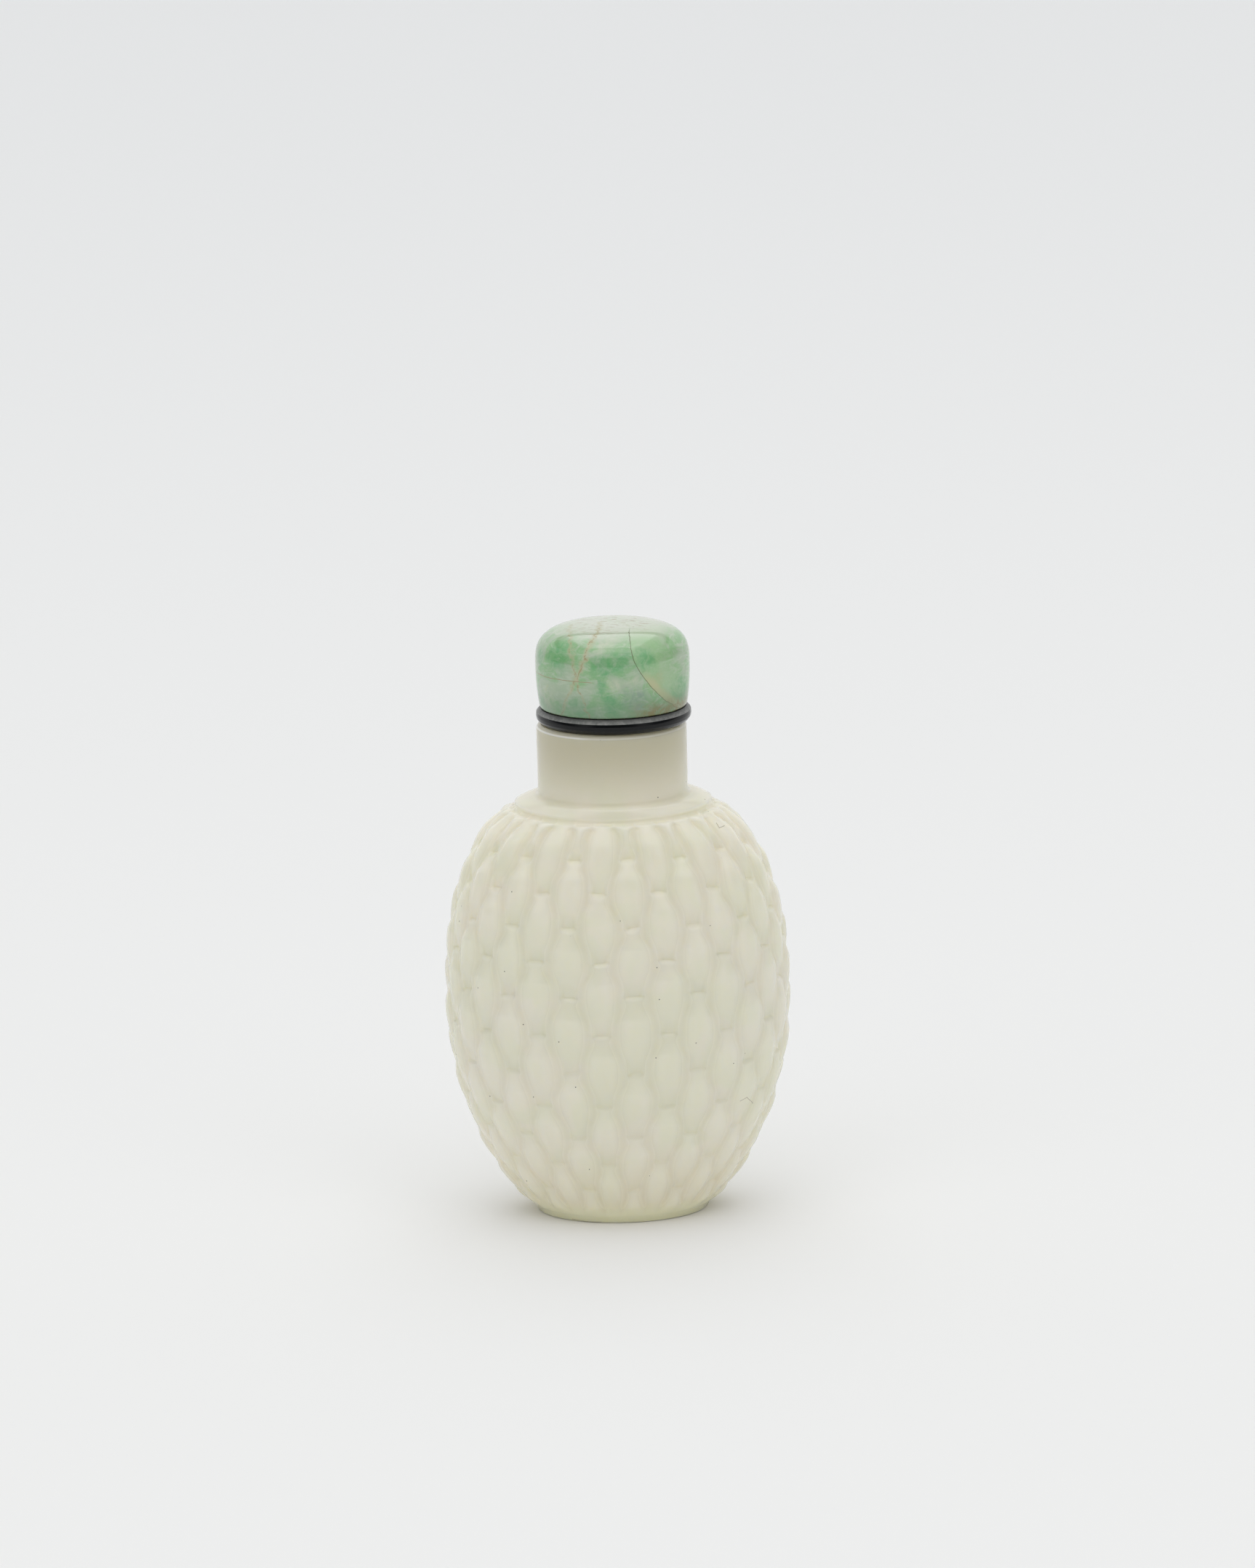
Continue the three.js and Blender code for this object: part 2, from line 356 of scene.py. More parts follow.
def smooth_spot(tree, size, turn, row, placed_row):
    """Where a point lies on the bottle's smooth form, before the carving."""
    low_rows = ((placed_row - 4.0) / 8.0).limited(0.0, 1.0) * math.pi
    even_level = size["Ring Level"] + (size["Foot Level"] - size["Ring Level"]) * placed_row / ROWS
    level = even_level - size["Closer Low Rows"] * low_rows.combine("SINE") ** 2.0
    sine = turn.combine("SINE")
    cosine = turn.combine("COSINE")
    sag = size["Sag"] * (row / 3.0).rest().combine("MAXIMUM", 0.0) * cosine * cosine
    half_width = outline_half(level, size, "Width")
    half_depth = outline_half(level, size, "Depth")
    return joined(tree, half_width * sine, half_depth * cosine * -1.0, level - sag)


def crown_dip(past, size):
    """Depth of a strand's crown: a straight rise from one crossing, a long fall to the next."""
    rise = past.ramp(0.30, 0.0, "LINEAR") * size["Neck Rise"]
    return rise + past.ramp(0.35, 1.1) * size["Lower Fall"]


def fishtail(size, past, row, from_side):
    """The small facet at a strand's top and the tuck at its end, fainter in lower rows."""
    tall = row.ramp(4.5, 2.5) * 0.035 + 0.05
    facet = past.ramp(tall, 0.0, "LINEAR") * size["Fishtail"]
    tuck = past.ramp(0.80, 1.0, "LINEAR") * size["Fishtail"]
    mark = (facet + tuck) * from_side.ramp(0.02, 0.20) * row.ramp(0.1, 0.3)
    return mark * (row.ramp(9.0, 4.0) * 0.7 + 0.3)


def groove_side(size, past, row, from_side):
    """1 in a groove's bottom and 0 on the strand's crown, with broader flanks half way."""
    near_ring = row.ramp(1.0, 0.4)
    flank = past.ramp(0.0, 0.1) * 0.6 + past.ramp(0.2, 0.45) * 0.4
    flank = flank * past.ramp(1.0, 0.55)
    flank = flank + (row.ramp(0.0, 0.2) - flank) * near_ring
    half = size["Groove Half Width"] + size["Flank"] * flank
    return from_side.ramp(half, 0.0)


def carving(size, column, share, width, row):
    """Depth of the carving under the smooth form, and how far a point is in a groove."""
    past = ((row - column - 1.0) * 0.5).combine("FRACT")
    from_side = share.combine("MINIMUM", share.rest()) * width
    crown = crown_dip(past, size)
    neighbour = crown_dip((past + 0.5).combine("FRACT"), size)
    # Grooves lie under the mean of both crowns, and deeper between the first strands
    deeper = row.ramp(1.0, 0.4) * 0.8 + 1.0
    floor = (crown + neighbour) * 0.5 + size["Groove Depth"] * row.ramp(0.03, 0.15) * deeper
    # The first crowns rise straight to the ring and end in its bevel
    bevel = row.ramp(0.2, 0.0, "LINEAR") * size["Ring Bevel"]
    crown = (crown * row.ramp(-1.0, 0.7, "LINEAR")).combine("MAXIMUM", bevel)
    crown = crown + fishtail(size, past, row, from_side)
    crown = crown + (share * 2.0 - 1.0) ** 2.0 * size["Crown Fall"]
    wall = groove_side(size, past, row, from_side)
    line = from_side.ramp(0.06, 0.0, "LINEAR") * size["Edge Line"]
    depth = crown + (floor - crown) * wall + line
    # Along the foot the strands fade into a plain band
    above_foot = row.ramp(float(ROWS), ROWS - 0.6)
    depth = (depth - size["Foot Cut"]) * above_foot + size["Foot Cut"]
    return depth, wall * row.ramp(0.05, 0.2) * above_foot


def stored(tree, geometry, name, amount):
    """Stores an amount on the points under a name."""
    store = tree.nodes.new("GeometryNodeStoreNamedAttribute")
    store.inputs["Name"].default_value = name
    tree.links.new(geometry, store.inputs["Geometry"])
    plug(tree, amount, store.inputs["Value"])
    return store.outputs["Geometry"]


def pushed_in(tree, geometry, name):
    """Moves the points inwards by the amount that is stored on them under a name."""
    carve = tree.nodes.new("GeometryNodeSetPosition")
    tree.links.new(geometry, carve.inputs["Geometry"])
    depth = tree.nodes.new("GeometryNodeInputNamedAttribute")
    depth.inputs["Name"].default_value = name
    inwards = tree.nodes.new("ShaderNodeVectorMath")
    inwards.operation = "SCALE"
    tree.links.new(tree.nodes.new("GeometryNodeInputNormal").outputs[0], inwards.inputs[0])
    plug(tree, Amount(tree, depth.outputs["Attribute"]) * -1.0, inwards.inputs["Scale"])
    tree.links.new(inwards.outputs["Vector"], carve.inputs["Offset"])
    return carve.outputs["Geometry"]


def finished(tree, geometry, material):
    """Smooth shading, real geometry and the material, at the tree's end."""
    for kind in ("SetShadeSmooth", "RealizeInstances", "SetMaterial"):
        step = tree.nodes.new(f"GeometryNode{kind}")
        tree.links.new(geometry, step.inputs["Geometry"])
        geometry = step.outputs["Geometry"]
    step.inputs["Material"].default_value = material
    leave = tree.nodes.new("NodeGroupOutput")
    tree.links.new(geometry, leave.inputs["Geometry"])


def woven_wall_tree(material):
    tree, size = shape_tree("Woven wall", (*OUTLINE, *CARVING))
    wall, across, row = strand_grid(tree)
    column = (across + 0.0001).combine("FLOOR")
    share = (across - column).limited(0.0, 1.0)
    width, lean = strand_width(size, column, row)
    depth, groove = carving(size, column, share, width, row)
    wall = stored(tree, wall, "carved", depth)
    wall = stored(tree, wall, "groove", groove)

    place_across = column + lean * 0.5 + share * width
    row_wander, column_wander = by_hand(tree, size, place_across, row)
    turn_each = FULL_TURN / COLUMNS
    turn = place_across * turn_each + column_wander * turn_each
    smooth = tree.nodes.new("GeometryNodeSetPosition")
    tree.links.new(wall, smooth.inputs["Geometry"])
    spot = smooth_spot(tree, size, turn, row, row + row_wander)
    tree.links.new(spot, smooth.inputs["Position"])

    # The grid's two sides meet at the back and are joined before the carving
    seam = tree.nodes.new("GeometryNodeMergeByDistance")
    tree.links.new(smooth.outputs["Geometry"], seam.inputs["Geometry"])
    seam.inputs["Distance"].default_value = 0.001 * MM
    finished(tree, pushed_in(tree, seam.outputs["Geometry"], "carved"), material)
    return tree


def grown(tree, values, name):
    """The plain mesh that a node tree makes from these named sizes."""
    seed = bpy.data.objects.new(name, bpy.data.meshes.new(name))
    bpy.context.collection.objects.link(seed)
    modifier = seed.modifiers.new(name, "NODES")
    modifier.node_group = tree
    for item in tree.interface.items_tree:
        if item.in_out == "INPUT" and item.name in values:
            modifier[item.identifier] = values[item.name]
    evaluated = seed.evaluated_get(bpy.context.evaluated_depsgraph_get())
    mesh = bpy.data.meshes.new_from_object(evaluated)
    bpy.data.objects.remove(seed)
    return mesh


# --- Bottle: platform, neck, mouth and hollow -------------------------------------------
# Above the ring the same stone goes on as a smooth low platform and a straight round neck
# with a softened lip. The bore opens into a hollow that follows the outside.
# Each ring of points is given by its half-width, half-depth, level and sag in millimetres.
PLATFORM_SIDE = [(11.3, 9.35, 48.12, 0.35), (11.22, 9.28, 48.3, 0.35), (11.3, 9.36, 48.5, 0.35)]
PLATFORM_EDGE = (11.25, 9.33, 48.62, 0.35)
PLATFORM_CROWN = 0.12
NECK_RADIUS = 8.6
NECK_FLARE_WIDTH = 0.55
NECK_FLARE_DEPTH = 0.45
NECK_FLARE_HEIGHT = 0.7
NECK_FOOT_LEVEL = 49.95
LIP_LEVEL = 57.75
LIP_CORNER = [(0, 0.66), (0.01, 0.57), (0.05, 0.48), (0.3, 0.1), (0.38, 0.02), (0.5, 0)]
BORE_RADIUS = 4.0
BORE_ROUNDING = 0.3
CAVITY_TOP = 45.5
CAVITY_MIDDLE = 25.5
CAVITY_FLOOR = 3.75
CAVITY_HALF = (16.8, 9.6)
CAVITY_FLOOR_HALF = (6.4, 4.2)
FOOT_HALF_WIDTH = 9.6
FOOT_HALF_DEPTH = 7.0
UNDERSIDE = [(8.8, 6.3), (4.5, 3.2)]


def blend(a, b, share):
    return tuple(p + (q - p) * share for p, q in zip(a, b))


def arc(steps):
    """Angles of a quarter turn."""
    return [math.pi / 2 * step / steps for step in range(steps + 1)]


def neck_rows():
    """The rings from the carving up to the lip."""
    rows = list(PLATFORM_SIDE)
    steps = 8
    neck_foot = (NECK_RADIUS + NECK_FLARE_WIDTH, NECK_RADIUS + NECK_FLARE_DEPTH, 49.25, 0.05)
    for step in range(steps + 1):
        share = step / steps
        width, depth, level, sag = blend(PLATFORM_EDGE, neck_foot, share)
        rows.append((width, depth, level + PLATFORM_CROWN * math.sin(math.pi * share), sag))
    for angle in arc(6)[1:]:
        out = 1 - math.sin(angle)
        width = NECK_RADIUS + NECK_FLARE_WIDTH * out
        depth = NECK_RADIUS + NECK_FLARE_DEPTH * out
        rows.append((width, depth, NECK_FOOT_LEVEL - NECK_FLARE_HEIGHT * math.cos(angle), 0.0))
    for level in (52.0, 54.0, 56.0):
        rows.append((NECK_RADIUS, NECK_RADIUS, level, 0.0))
    for inset, drop in LIP_CORNER:
        rows.append((NECK_RADIUS - inset, NECK_RADIUS - inset, LIP_LEVEL - drop, 0.0))
    return rows


def hollow_rows():
    """The rings from the top of the lip down the bore and the hollow to its floor."""
    rows = [(6.0, 6.0, LIP_LEVEL, 0.0)]
    for angle in arc(3):
        radius = BORE_RADIUS + BORE_ROUNDING * (1 - math.sin(angle))
        rows.append((radius, radius, LIP_LEVEL - BORE_ROUNDING * (1 - math.cos(angle)), 0.0))
    rows.append((BORE_RADIUS, BORE_RADIUS, 50.0, 0.0))
    steps = 8
    for step in range(-steps, steps + 1):
        away = math.sin(abs(step) / steps * math.pi / 2)
        if step < 0:
            end, end_half, (along, across) = CAVITY_TOP, (BORE_RADIUS, BORE_RADIUS), SHOULDER_CURVE
        else:
            end, end_half, (along, across) = CAVITY_FLOOR, CAVITY_FLOOR_HALF, HIP_CURVE
        swell = (1 - away ** along) ** (1 / across)
        width, depth = blend(end_half, CAVITY_HALF, swell)
        rows.append((width, depth, CAVITY_MIDDLE + (end - CAVITY_MIDDLE) * away, 0.0))
    return rows


def foot_rows():
    """The rings from the foot of the carving round its soft edge to the flat underside."""
    rows = []
    for angle in arc(3)[1:]:
        out = 0.35 * math.cos(angle)
        level = 0.3 * (1 - math.sin(angle))
        rows.append((FOOT_HALF_WIDTH + out, FOOT_HALF_DEPTH + out, level, 0.0))
    for width, depth in UNDERSIDE:
        rows.append((width, depth, 0.0, 0.0))
    return rows


def open_loop(bm, above):
    """The open edge of the wall above or below mid height, in order round the bottle."""
    middle = 25 * MM
    points = {v for e in bm.edges if e.is_boundary for v in e.verts}
    side = [v for v in points if (v.co.z > middle) == above]
    return sorted(side, key=lambda v: math.atan2(v.co.x, -v.co.y))


def add_rings(bm, loop, rows, width, depth):
    """Grows rings from an open edge, then closes the last one round its middle."""
    turns = [math.atan2(v.co.x / width, -v.co.y / depth) for v in loop]
    for half_width, half_depth, level, sag in rows:
        ring = [
            bm.verts.new((
                half_width * MM * math.sin(turn),
                -half_depth * MM * math.cos(turn),
                (level - sag * math.cos(turn) ** 2) * MM,
            ))
            for turn in turns
        ]
        for i in range(len(ring)):
            bm.faces.new((loop[i - 1], loop[i], ring[i], ring[i - 1]))
        loop = ring
    middle = bm.verts.new((0, 0, loop[0].co.z))
    for i in range(len(loop)):
        bm.faces.new((loop[i - 1], loop[i], middle))


def bottle():
    wall = grown(woven_wall_tree(pale_nephrite), {**OUTLINE, **CARVING}, "bottle")
    bm = bmesh.new()
    bm.from_mesh(wall)
    top = open_loop(bm, True)
    bottom = open_loop(bm, False)
    add_rings(bm, top, neck_rows() + hollow_rows(), OUTLINE["Ring Width"], OUTLINE["Ring Depth"])
    add_rings(bm, bottom, foot_rows(), OUTLINE["Foot Width"], OUTLINE["Foot Depth"])
    bmesh.ops.recalc_face_normals(bm, faces=bm.faces)
    for face in bm.faces:
        face.smooth = True
        face.material_index = 0
    bm.to_mesh(wall)
    bm.free()
    wall.materials.clear()
    wall.materials.append(pale_nephrite)
    piece = bpy.data.objects.new("bottle", wall)
    bpy.context.collection.objects.link(piece)
    return piece


woven_bottle = bottle()
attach(woven_bottle, "root")
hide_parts("bottle_body")

# --- Stopper: collar --------------------------------------------------------------------
# A thin glossy black disc with a bevelled rim, glued under the cap. It rests on the lip.
collar_low, collar_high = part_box("stopper_collar")
STOPPER_X = (collar_low[0] + collar_high[0]) / 2
COLLAR_LEVEL = collar_low[2] / MM
COLLAR_SECTION = [
    (0, 0),
    (8.4, 0),
    (8.62, 0.22),
    (8.84, 0.55),
    (8.9, 0.92),
    (8.85, 1.28),
    (8.42, 1.75),
    (0, 1.75),
]
COLLAR_ROUNDING = 0.05
STOPPER_SIDES = 160
GLOSS = {
    "black": (0.002, 0.0025, 0.003),
    "dull black": (0.004, 0.005, 0.006),
    "worn": (0.14, 0.145, 0.14),
    "worn pale": (0.26, 0.26, 0.25),
    "by the cap": (0.03, 0.032, 0.03),
}


def turned(name, section, material):
    """A closed round piece from its half section of radius and level, in millimetres."""
    bm = bmesh.new()
    turns = [FULL_TURN * side / STOPPER_SIDES for side in range(STOPPER_SIDES)]
    rings = []
    for radius, level in section:
        if radius == 0:
            rings.append([bm.verts.new((STOPPER_X, 0, level * MM))])
            continue
        rings.append([
            bm.verts.new((
                STOPPER_X + radius * MM * math.sin(turn),
                -radius * MM * math.cos(turn),
                level * MM,
            ))
            for turn in turns
        ])
    for low, high in zip(rings, rings[1:]):
        for i in range(STOPPER_SIDES):
            if len(low) == 1:
                bm.faces.new((low[0], high[i], high[i - 1]))
            elif len(high) == 1:
                bm.faces.new((low[i - 1], low[i], high[0]))
            else:
                bm.faces.new((low[i - 1], low[i], high[i], high[i - 1]))
    bmesh.ops.recalc_face_normals(bm, faces=bm.faces)
    for face in bm.faces:
        face.smooth = True
    mesh = bpy.data.meshes.new(name)
    bm.to_mesh(mesh)
    bm.free()
    mesh.materials.append(material)
    piece = bpy.data.objects.new(name, mesh)
    bpy.context.collection.objects.link(piece)
    return piece


def black_gloss():
    """Glossy black, with the bevel round its top worn grey and matt."""
    material, tree, shader, place, _, _, z = new_stone("black collar")
    up = z - COLLAR_LEVEL * MM
    wear = clouds(tree, place, 0.5 * MM, detail=4.0, roughness=0.7).ramp(0.35, 0.7)
    black = tint(tree, wear, GLOSS["black"], GLOSS["dull black"])
    worn = tint(tree, wear, GLOSS["worn"], GLOSS["worn pale"])
    worn = tint(tree, up.ramp(1.35 * MM, 1.75 * MM) * 0.7, worn, GLOSS["by the cap"])
    bevel = up.ramp(1.24 * MM, 1.30 * MM)
    plug(tree, tint(tree, bevel, black, worn), shader.inputs["Base Color"])
    plug(tree, bevel * 0.25 + 0.08, shader.inputs["Roughness"])
    shader.inputs["Specular IOR Level"].default_value = 0.25
    return material


def rounded(corners, radius, steps=4):
    """A half section with every inner corner rounded off by a short curve."""
    section = [corners[0]]
    for before, corner, after in zip(corners, corners[1:], corners[2:]):
        arms = []
        for other in (before, after):
            length = math.dist(corner, other)
            arms.append(blend(corner, other, min(0.45, radius / length)))
        for step in range(steps + 1):
            share = step / steps
            first = blend(arms[0], corner, share)
            second = blend(corner, arms[1], share)
            section.append(blend(first, second, share))
    section.append(corners[-1])
    return section


collar_corners = [(radius, COLLAR_LEVEL + up) for radius, up in COLLAR_SECTION]
collar = turned("collar", rounded(collar_corners, COLLAR_ROUNDING), black_gloss())
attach(collar, "root")
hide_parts("stopper_collar")

# --- Stopper: cap -----------------------------------------------------------------------
# A domed cabochon-like cap of mottled apple-green jadeite, highly polished.
cap_low, cap_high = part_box("stopper_cap")
CAP_RADIUS = 8.83
CAP_LOW_RADIUS = 8.42
CAP_WIDEST = 4.9
DOME = 3.2
JADE = {
    "green": (0.27, 0.50, 0.24),
    "grey green": (0.40, 0.52, 0.36),
    "milky streak": (0.52, 0.61, 0.47),
    "beyond crack": (0.37, 0.58, 0.31),
    "cream": (0.56, 0.62, 0.46),
    "lavender": (0.24, 0.33, 0.28),
    "yellowish": (0.44, 0.52, 0.28),
    "emerald": (0.11, 0.41, 0.15),
    "crown": (0.68, 0.69, 0.59),
    "scratch": (0.34, 0.28, 0.16),
    "vein": (0.50, 0.50, 0.32),
    "rust": (0.33, 0.24, 0.10),
    "crack border": (0.54, 0.54, 0.31),
    "hairline": (0.34, 0.27, 0.14),
    "crack": (0.12, 0.14, 0.05),
    "painted low shade": (0.10, 0.20, 0.12),
    "stain": (0.22, 0.18, 0.06),
    "glue": (0.03, 0.03, 0.016),
    "glue crumb": (0.42, 0.40, 0.20),
}


def cap_section():
    bottom = cap_low[2] / MM
    rise = (cap_high[2] - cap_low[2]) / MM - CAP_WIDEST
    section = [(0, bottom), (CAP_LOW_RADIUS - 0.25, bottom), (CAP_LOW_RADIUS - 0.05, bottom + 0.1)]
    steps = 10
    for step in range(steps):
        below = 1 - step / steps
        radius = CAP_RADIUS + (CAP_LOW_RADIUS - CAP_RADIUS) * below ** 2
        section.append((radius, bottom + max(0.25, CAP_WIDEST * (1 - below))))
    steps = 40
    for step in range(steps):
        turn = math.pi / 2 * step / steps
        section.append((
            CAP_RADIUS * math.cos(turn) ** (2 / DOME),
            bottom + CAP_WIDEST + rise * math.sin(turn) ** (2 / DOME),
        ))
    section.append((0, bottom + CAP_WIDEST + rise))
    return section


# Veins on the front of the cap: where each starts and ends as x and level over the cap's
# underside, how it bends between them, its half-width, and how much of it shows
VEINS = [
    {"start": (-1.1, 9.8), "end": (-4.1, 4.6), "bend": 0.6, "half": 0.50, "strength": 0.8},
    {"start": (-4.7, 9.6), "end": (-4.2, 4.6), "bend": 1.5, "half": 0.45, "strength": 0.55},
    {"start": (-4.2, 4.6), "end": (-6.0, 0.0), "bend": 0.8, "half": 0.30, "strength": 0.7},
    {"start": (-4.2, 4.6), "end": (-2.75, 0.0), "bend": 1.0, "half": 0.25, "strength": 0.6},
]
CRACK = {"start": (2.0, 9.4), "end": (7.6, 0.1), "bend": 1.9}

# Cloudy spots: the middle of each as X, Y and level over the cap's underside, and its reach
BLOOMS = {
    "cream": [
        ((-0.7, -8.0, 9.0), 2.4),
        ((0.2, -8.8, 4.3), 1.3),
        ((2.4, -8.5, 4.5), 1.2),
        ((-7.4, -4.4, 2.0), 2.4),
    ],
    "lavender": [((2.4, -8.5, 2.3), 2.3)],
    "yellowish": [((5.0, -7.4, 4.2), 1.6), ((-7.2, -4.6, 3.4), 0.8)],
    "emerald": [
        ((-6.2, -6.0, 7.2), 2.8),
        ((0.7, -8.7, 6.7), 2.7),
        ((-1.6, -8.7, 6.0), 1.6),
        ((0.0, -8.8, 1.6), 1.7),
        ((-4.3, -7.7, 1.4), 1.7),
        ((-8.3, -3.0, 6.5), 1.8),
        ((-1.4, -8.7, 3.4), 1.3),
        ((7.8, -4.0, 2.6), 2.8),
        ((3.6, -8.2, 6.6), 2.0),
        ((4.0, 7.0, 5.0), 3.0),
        ((-5.0, 6.0, 4.0), 2.4),
    ],
}


def bloom(tree, place, centre, reach, warp):
    """1 in the middle of a cloudy spot and 0 beyond its reach."""
    spot = tree.nodes.new("ShaderNodeVectorMath")
    spot.operation = "DISTANCE"
    plug(tree, place, spot.inputs[0])
    x, y, level = centre
    spot.inputs[1].default_value = (STOPPER_X + x * MM, y * MM, cap_low[2] + level * MM)
    away = Amount(tree, spot.outputs["Value"]) + warp * 2.0
    return away.ramp(reach * MM, 0.2 * reach * MM)


def beside(x, level, start, end, bend):
    """Distance to the right of a bending line, and 1 between its two end levels."""
    along = ((level - start[1] * MM) / ((end[1] - start[1]) * MM)).limited(0.0, 1.0)
    away = x - along ** bend * ((end[0] - start[0]) * MM) - start[0] * MM
    low, high = end[1] * MM, start[1] * MM
    inside = level.ramp(low - 0.3 * MM, low) * level.ramp(high + 0.3 * MM, high)
    return away, inside


def green_clouds(tree, place):
    """Soft green and grey-green clouds with milky streaks across them."""
    broad = clouds(tree, place, 4.5 * MM, detail=4.0, roughness=0.6, distortion=1.2)
    streaks = clouds(tree, place, 0.8 * MM, 4.0, 0.6, 1.2, stretch=(2.4, 2.4, 1))
    colour = tint(tree, broad.ramp(0.42, 0.60), JADE["green"], JADE["grey green"])
    return tint(tree, streaks.ramp(0.42, 0.74) * 0.75, colour, JADE["milky streak"])


def with_blooms(tree, colour, place, warp, fine):
    """Cloudy spots, each broken up by the stone's finer clouds."""
    broken = fine.ramp(0.64, 0.36) * 0.5 + 0.3
    for shade, spots in BLOOMS.items():
        for centre, reach in spots:
            share = bloom(tree, place, centre, reach, warp) * broken
            colour = tint(tree, share, colour, JADE[shade])
    return colour


def with_pale_lit_crown(tree, colour, place, level):
    """Paler stone on top of the dome with a painted highlight, and fine brown scratches."""
    grain = clouds(tree, place, 0.25 * MM, detail=3.0, roughness=0.7)
    # Painted highlight on top of the dome, mixed with paler stone
    pale_and_lit_top = level.ramp(8.2 * MM, 9.8 * MM) * 0.7 + grain.ramp(0.5, 0.8) * 0.12
    colour = tint(tree, pale_and_lit_top, colour, JADE["crown"])
    scratches = clouds(tree, place, 0.3 * MM, 2.0, stretch=(4, 1, 1)).ramp(0.58, 0.61)
    scratches = scratches * level.ramp(9.0 * MM, 10.0 * MM) * 0.8
    return tint(tree, scratches, colour, JADE["scratch"])


def with_veins(tree, colour, across, level, front, fine):
    """Soft pale veins with a broken rusty line along their middles."""
    for vein in VEINS:
        line, shows = beside(across, level, vein["start"], vein["end"], vein["bend"])
        near = line.combine("ABSOLUTE").ramp(vein["half"] * MM, 0.0) * shows * front
        colour = tint(tree, near * vein["strength"], colour, JADE["vein"])
        rust = line.combine("ABSOLUTE").ramp(0.17 * MM, 0.0) * shows * front
        rust = rust * fine.ramp(0.48, 0.60)
        colour = tint(tree, rust * vein["strength"] * 0.9, colour, JADE["rust"])
    return colour


def with_cracks(tree, colour, away, inside, across, level, warp, front):
    """A healed crack with a yellowish border low down, and a level hairline on the left."""
    low = level.ramp(6.0 * MM, 4.0 * MM)
    border = away.ramp(-0.1 * MM, 0.1 * MM) * away.ramp(1.5 * MM, 0.5 * MM) * inside * front
    colour = tint(tree, border * low * 0.8, colour, JADE["crack border"])
    hairline = (level + warp * 0.15 - 4.4 * MM).combine("ABSOLUTE").ramp(0.08 * MM, 0.02 * MM)
    hairline = hairline * across.ramp(-2.0 * MM, -2.6 * MM) * front
    colour = tint(tree, hairline * 0.7, colour, JADE["hairline"])
    crack = away.combine("ABSOLUTE").ramp(0.07 * MM, 0.02 * MM) * inside * front
    return tint(tree, crack * 0.85, colour, JADE["crack"])


def with_foot(tree, colour, place, across, level, warp, front, fine):
    """Painted shade low down, stained on the right, with a brown line of old glue at the foot."""
    # Painted shade on the lower part of the cap
    colour = tint(tree, level.ramp(4.0 * MM, 0.5 * MM) * 0.55, colour, JADE["painted low shade"])
    stain = level.ramp(2.4 * MM, 0.4 * MM) * across.ramp(1.0 * MM, 4.5 * MM) * front
    colour = tint(tree, stain * fine.ramp(0.35, 0.6) * 0.85, colour, JADE["stain"])
    glue = (level + warp * 0.10).ramp(0.20 * MM, 0.12 * MM)
    crumbs = clouds(tree, place, 0.12 * MM, detail=1.0).ramp(0.62, 0.68)
    colour = tint(tree, glue, colour, JADE["glue"])
    return tint(tree, glue * crumbs * 0.7, colour, JADE["glue crumb"])


def jadeite():
    material, tree, shader, place, x, y, z = new_stone("green jadeite")
    level = z - cap_low[2]
    warp = (clouds(tree, place, 1.6 * MM, detail=4.0, roughness=0.6) - 0.5) * (1.6 * MM)
    jitter = (clouds(tree, place, 0.9 * MM, detail=4.0, roughness=0.6) - 0.5) * (1.4 * MM)
    fine = clouds(tree, place, 1.5 * MM, detail=5.0, roughness=0.65, distortion=1.5)
    across = x - STOPPER_X + warp * 0.35
    front = y.ramp(0.5 * MM, -1.0 * MM)
    away, inside = beside(across, level, **CRACK)

    colour = green_clouds(tree, place)
    beyond = away.ramp(0.0, 0.12 * MM) * away.ramp(5.5 * MM, 2.0 * MM) * inside * front
    colour = tint(tree, beyond * 0.7, colour, JADE["beyond crack"])
    colour = with_blooms(tree, colour, place, warp, fine)
    colour = with_pale_lit_crown(tree, colour, place, level)
    colour = with_veins(tree, colour, across + jitter, level, front, fine)
    colour = with_cracks(tree, colour, away, inside, across, level, warp, front)
    colour = with_foot(tree, colour, place, across, level, warp, front, fine)
    plug(tree, colour, shader.inputs["Base Color"])
    shader.inputs["Roughness"].default_value = 0.06
    shader.inputs["IOR"].default_value = 1.66
    shader.inputs["Subsurface Weight"].default_value = 0.15
    shader.inputs["Subsurface Radius"].default_value = (0.8, 1.0, 0.7)
    shader.inputs["Subsurface Scale"].default_value = 0.5 * MM
    return material


cap = turned("cap", cap_section(), jadeite())
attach(cap, "root")
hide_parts("stopper_cap")

# --- Floor, light and camera ------------------------------------------------------------
# A pale seamless floor under a broad soft light from above, and a long lens that looks a
# little down on the bottle.
FLOOR_HALF = 4.0
FLOOR_COLOUR = (0.88, 0.88, 0.875, 1)
WALL_LEVEL = 0.675
LENS = 93.5
SENSOR_HEIGHT = 24.0
DISTANCE = 0.70
ELEVATION = math.radians(12.6)
ROLL = math.radians(1.4)
AIM = Vector((0.00168, 0, 0.0502))


def pale_floor():
    half = FLOOR_HALF
    mesh = bpy.data.meshes.new("floor")
    corners = [(-half, -half, 0), (half, -half, 0), (half, half, 0), (-half, half, 0)]
    mesh.from_pydata(corners, [], [(0, 1, 2, 3)])
    material = bpy.data.materials.new("pale floor")
    material.use_nodes = True
    shader = material.node_tree.nodes["Principled BSDF"]
    shader.inputs["Base Color"].default_value = FLOOR_COLOUR
    shader.inputs["Roughness"].default_value = 0.9
    shader.inputs["Specular IOR Level"].default_value = 0.1
    mesh.materials.append(material)
    floor = bpy.data.objects.new("floor", mesh)
    bpy.context.collection.objects.link(floor)
    return floor


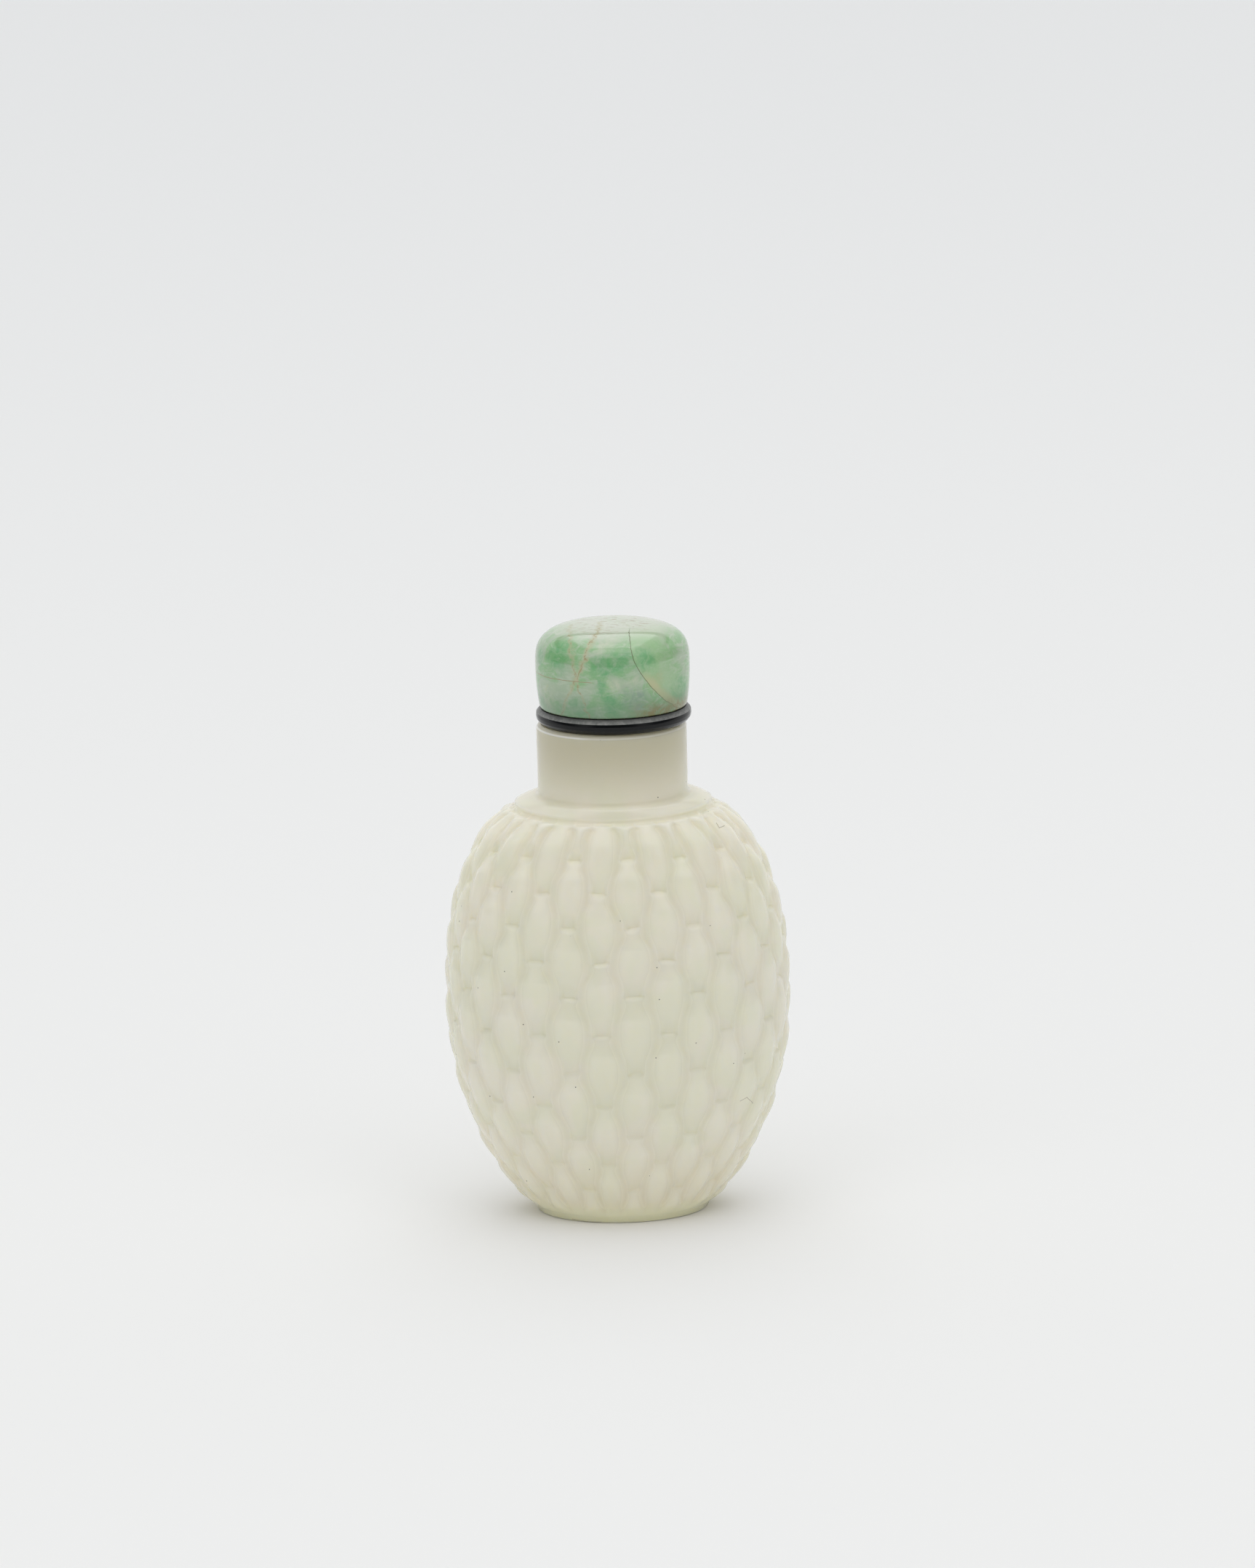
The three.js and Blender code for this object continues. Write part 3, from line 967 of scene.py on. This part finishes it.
def soft_light(name, place, aim, size, power, colour=(1, 1, 1)):
    light = bpy.data.lights.new(name, "AREA")
    light.shape = "RECTANGLE"
    light.size, light.size_y = size
    light.energy = power
    light.color = colour
    lamp = bpy.data.objects.new(name, light)
    lamp.location = place
    lamp.rotation_euler = (Vector(aim) - Vector(place)).to_track_quat("-Z", "Y").to_euler()
    bpy.context.collection.objects.link(lamp)
    return lamp


def white_surroundings():
    """Pale walls with a bright backdrop and ceiling, a dark band between, and a dim front."""
    world = bpy.data.worlds.new("white surroundings")
    world.use_nodes = True
    tree = world.node_tree
    direction = tree.nodes.new("ShaderNodeSeparateXYZ")
    tree.links.new(tree.nodes.new("ShaderNodeTexCoord").outputs["Generated"], direction.inputs[0])
    x, y, z = (Amount(tree, direction.outputs[axis]) for axis in "XYZ")
    behind = y.ramp(0.0, 0.3)
    backdrop = behind * z.ramp(0.56, 0.54)
    dark_band = behind * z.ramp(0.54, 0.56) * z.ramp(0.65, 0.62)
    ceiling = z.ramp(0.62, 0.65) * (x / z).combine("ABSOLUTE").ramp(0.5, 0.44)
    ceiling = ceiling * (y / z).ramp(-0.24, -0.16)
    front = (y * -1.0).ramp(0.72, 0.92) * z.ramp(0.56, 0.48)
    high_front = (y * -1.0).ramp(0.15, 0.4) * z.ramp(0.48, 0.56)
    side = x.combine("ABSOLUTE").ramp(0.7, 0.95) * z.ramp(0.6, 0.3)
    level = backdrop * 0.18 + ceiling * 0.8 + high_front * 0.38 + WALL_LEVEL
    level = level - dark_band * 0.5 - front * 0.52 - side * 0.54
    background = tree.nodes["Background"]
    cooler_above = tint(tree, z.ramp(0.0, 0.6), (1, 1, 1), (0.97, 0.985, 1))
    plug(tree, cooler_above, background.inputs["Color"])
    plug(tree, level, background.inputs["Strength"])
    return world


def long_lens_camera():
    data = bpy.data.cameras.new("camera")
    data.sensor_fit = "VERTICAL"
    data.sensor_height = SENSOR_HEIGHT
    data.lens = LENS
    data.clip_start = 0.01
    camera = bpy.data.objects.new("camera", data)
    facing = Vector((0, math.cos(ELEVATION), -math.sin(ELEVATION)))
    turn = facing.to_track_quat("-Z", "Y").to_matrix() @ Matrix.Rotation(-ROLL, 3, "Z")
    camera.matrix_world = Matrix.Translation(AIM - facing * DISTANCE) @ turn.to_4x4()
    bpy.context.collection.objects.link(camera)
    return camera


pale_floor()
soft_light("overhead softbox", (0.02, -0.25, 1), (0.02, -0.1, 0), (0.9, 0.8), 1.3, (1, 0.94, 0.84))
bpy.context.scene.world = white_surroundings()
bpy.context.scene.view_settings.view_transform = "Standard"
bpy.context.scene.camera = long_lens_camera()
